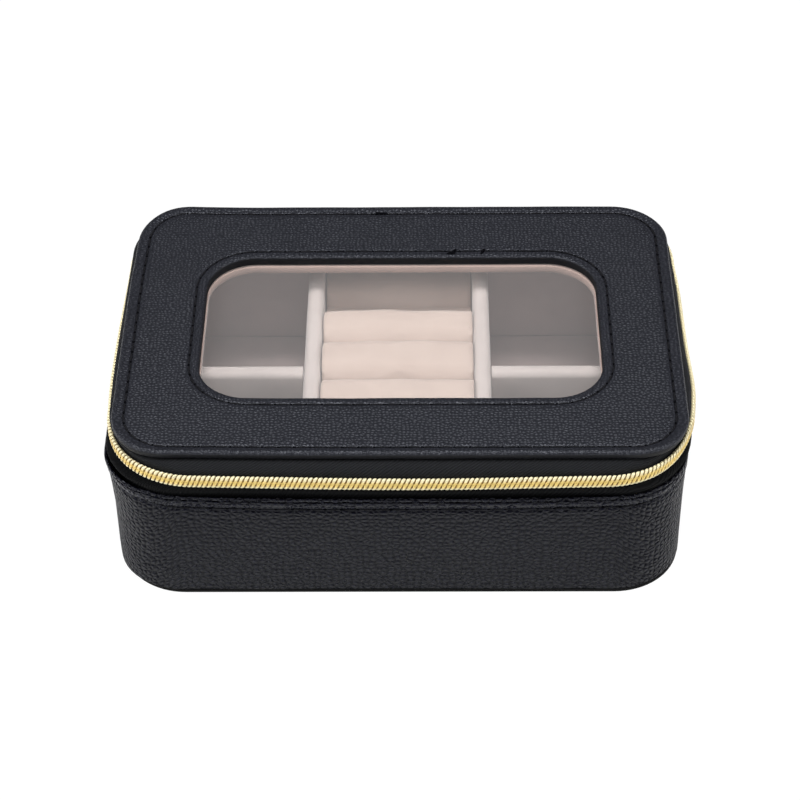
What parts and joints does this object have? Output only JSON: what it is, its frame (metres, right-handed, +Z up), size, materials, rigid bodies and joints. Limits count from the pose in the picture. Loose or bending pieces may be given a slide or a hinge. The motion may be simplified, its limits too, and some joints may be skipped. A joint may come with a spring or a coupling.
{
  "type": "ring display box",
  "caption": "Zip-round pebbled leather box with a windowed lid over velvet ring rolls between open compartments.",
  "frame": {"origin": "middle of the underside, where the box stands", "axes": "+Z up; +X to the right seen from the front, along the long sides; the front faces -Y and the hinge is at +Y"},
  "size_m": [0.1882, 0.1364, 0.0604],
  "materials": {
    "leather": "pebbled, satin black",
    "board": "grey pressed board, hidden inside the leather",
    "bottom_cover": "fine matt black",
    "velvet": "short cream-pink velvet",
    "zip_tape": "woven black tape",
    "zip_gold": "metallised nylon coil, pale gold",
    "zip_metal": "polished pale gold plating",
    "pane": "clear flexible film"
  },
  "bodies": {
    "base": {"base_bottom_cover": "bottom_cover", "base_bottom_board": "board", "base_wall_board": "board", "base_wall_leather": "leather", "base_wall_lining": "velvet", "base_floor_pad": "velvet", "divider_left": "velvet", "divider_right": "velvet", "cross_divider_left": "velvet", "cross_divider_right": "velvet", "roll_platform": "velvet", "ring_roll_1": "velvet", "ring_roll_2": "velvet", "ring_roll_3": "velvet", "ring_roll_4": "velvet", "ring_roll_5": "velvet", "ring_roll_6": "velvet", "ring_roll_7": "velvet", "zip_tape_lower": "zip_tape", "zip_teeth_lower": "zip_gold", "zip_end_tape": "zip_tape", "zip_end_teeth": "zip_gold", "zip_end_clamp": "zip_metal", "hinge_leather_base_leaf": "leather", "hinge_lining_base_leaf": "velvet"},
    "lid": {"lid_leather": "leather", "lid_board": "board", "window_pane": "pane", "lid_lining_frame": "velvet", "zip_tape_upper": "zip_tape", "zip_teeth_upper": "zip_gold", "hinge_leather_lid_leaf": "leather", "hinge_lining_lid_leaf": "velvet"},
    "zip_slider": {"slider_body": "zip_metal", "slider_bridge": "zip_metal"},
    "pull": {"zip_pull": "zip_metal"}
  },
  "joints": [
    {"name": "lid_hinge", "type": "hinge", "parent": "base", "child": "lid", "pos_m": [0, 0.0664, 0.05], "axis": [-1, 0, 0], "range_deg": [0, 110]},
    {"name": "slider_travel", "type": "slide", "parent": "base", "child": "zip_slider", "axis": [1, 0, 0], "range_m": [0, 0.004]},
    {"name": "pull_swing", "type": "hinge", "parent": "zip_slider", "child": "pull", "pos_m": [0.0589, 0.06835, 0.05], "axis": [0, 1, 0], "range_deg": [-60, 60]}
  ]
}
